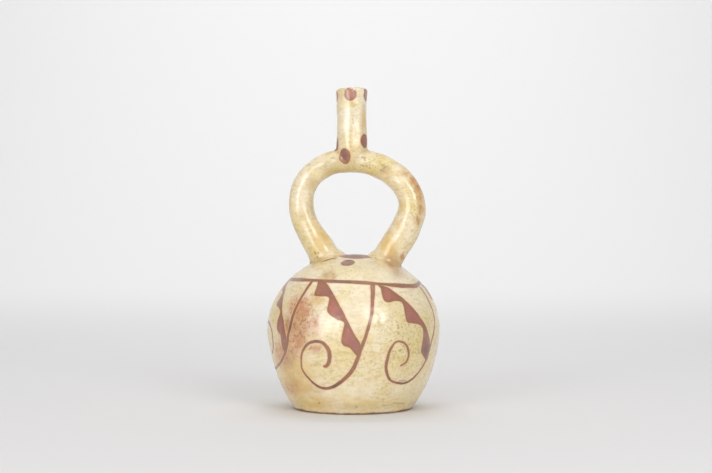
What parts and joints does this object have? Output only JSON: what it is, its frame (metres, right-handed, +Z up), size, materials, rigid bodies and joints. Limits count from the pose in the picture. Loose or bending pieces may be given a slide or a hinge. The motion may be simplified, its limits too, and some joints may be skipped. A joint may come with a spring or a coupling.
{
  "type": "stirrup spout vessel",
  "caption": "Flat-based round-shouldered clay bottle with a looped hollow stirrup handle that rises into a straight spout.",
  "frame": {"origin": "centre of the flat underside", "axes": "+Z up the chamber's axis towards the spout; +X along the stirrup, towards its fuller arm; +Y away from the front"},
  "size_m": [0.13, 0.13, 0.24],
  "materials": {
    "slipped_clay": "burnished cream slip with red-brown painted line work, semi-gloss"
  },
  "bodies": {
    "root": {"vessel": "slipped_clay"}
  },
  "joints": []
}
